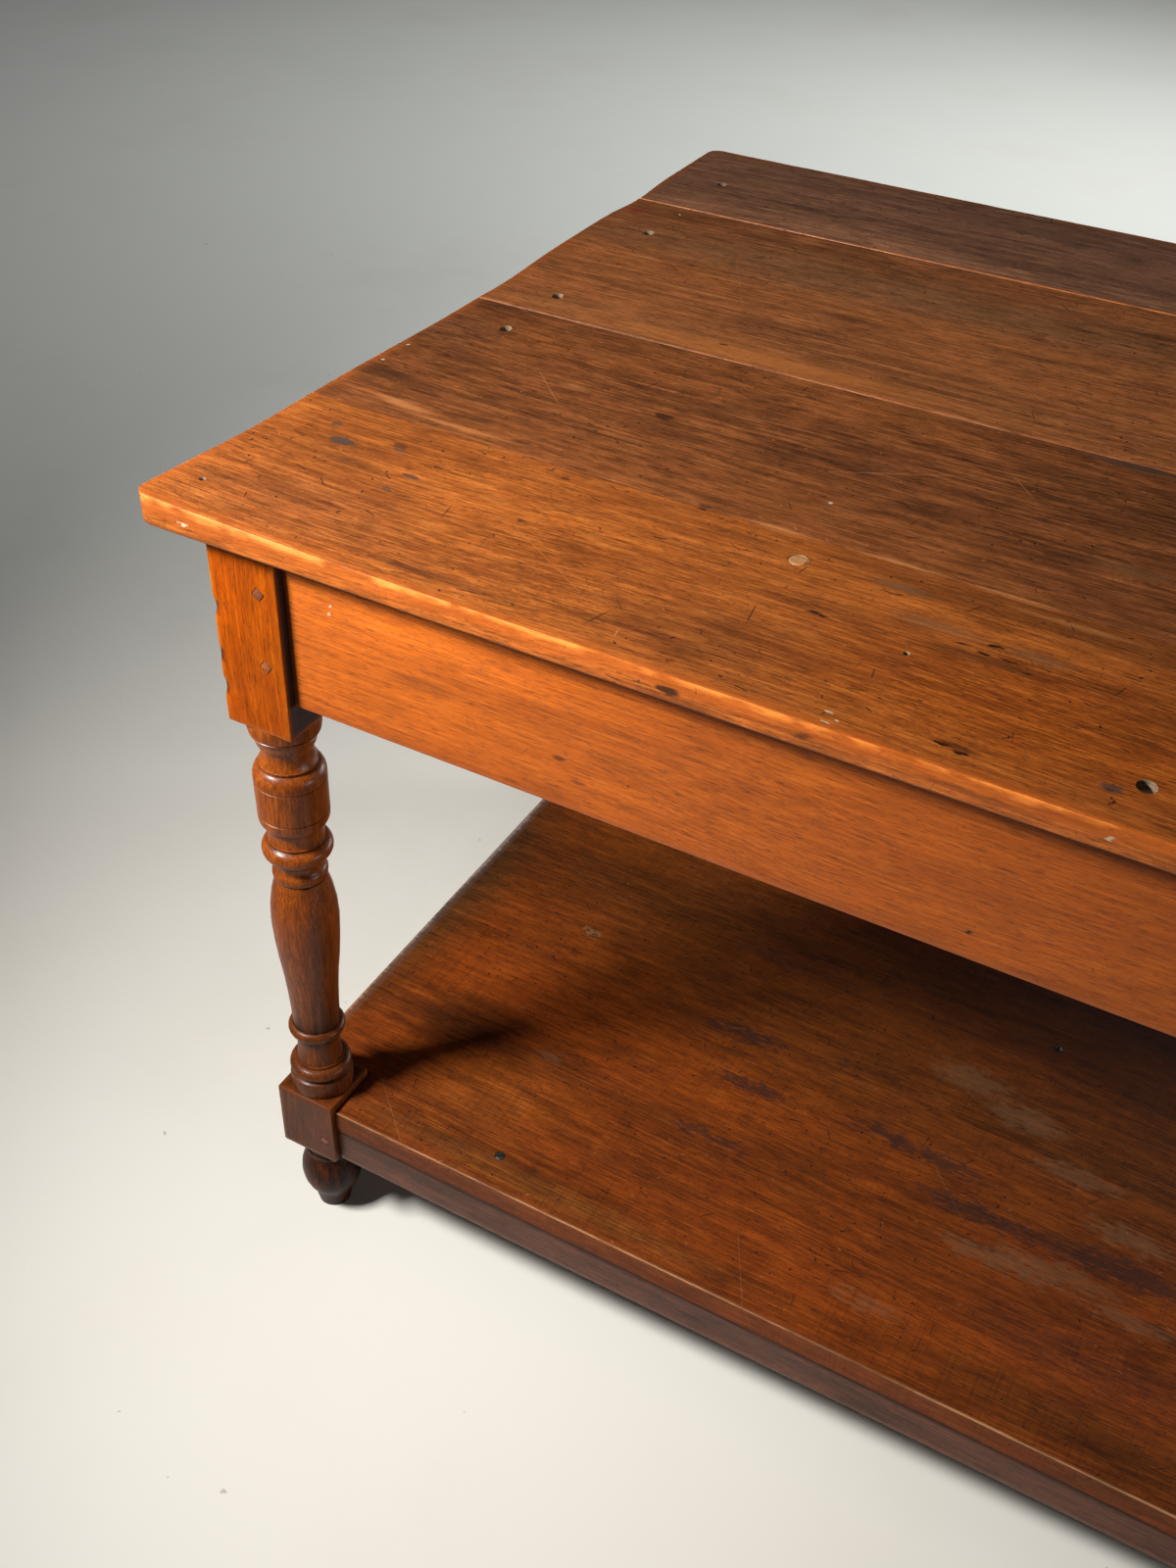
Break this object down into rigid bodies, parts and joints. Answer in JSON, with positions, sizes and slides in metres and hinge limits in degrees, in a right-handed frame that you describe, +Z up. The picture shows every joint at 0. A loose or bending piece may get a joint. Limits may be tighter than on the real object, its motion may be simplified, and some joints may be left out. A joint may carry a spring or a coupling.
{
  "type": "drapers table",
  "caption": "Long plank-topped table on turned legs with deep plain aprons and a low plank shelf on rails, for laying out and storing cloth or goods.",
  "frame": {"origin": "on the floor below the middle of the table", "axes": "+X along the table's length, -Y towards the front seen in the picture, +Z up"},
  "size_m": [1.9994, 0.91, 0.8],
  "materials": {
    "top_wood": "worn waxed red-brown",
    "leg_wood": "waxed brown, dark in the turnings",
    "apron_wood": "smooth satin orange-brown",
    "rail_wood": "dull dark brown",
    "shelf_wood": "worn dark brown",
    "bearer_wood": "bare sawn",
    "peg_wood": "waxed end grain",
    "plug_wood": "pale, flush",
    "screw_steel": "dull zinc",
    "screw_iron": "dark, flush"
  },
  "bodies": {
    "root": {"top_board_front": "top_wood", "top_board_second": "top_wood", "top_board_third": "top_wood", "top_board_back": "top_wood", "leg_front_left": "leg_wood", "leg_front_right": "leg_wood", "leg_back_left": "leg_wood", "leg_back_right": "leg_wood", "apron_front": "apron_wood", "shelf_rail_front": "rail_wood", "apron_back": "apron_wood", "shelf_rail_back": "rail_wood", "apron_left": "apron_wood", "shelf_rail_left": "rail_wood", "apron_right": "apron_wood", "shelf_rail_right": "rail_wood", "shelf_board_front": "shelf_wood", "shelf_board_middle": "shelf_wood", "shelf_board_back": "shelf_wood", "top_bearer_left": "bearer_wood", "shelf_bearer_left": "bearer_wood", "top_bearer_right": "bearer_wood", "shelf_bearer_right": "bearer_wood", "apron_pegs": "peg_wood", "rail_pegs": "peg_wood", "top_plug": "plug_wood", "top_screws": "screw_steel", "shelf_screws": "screw_iron"}
  },
  "joints": []
}
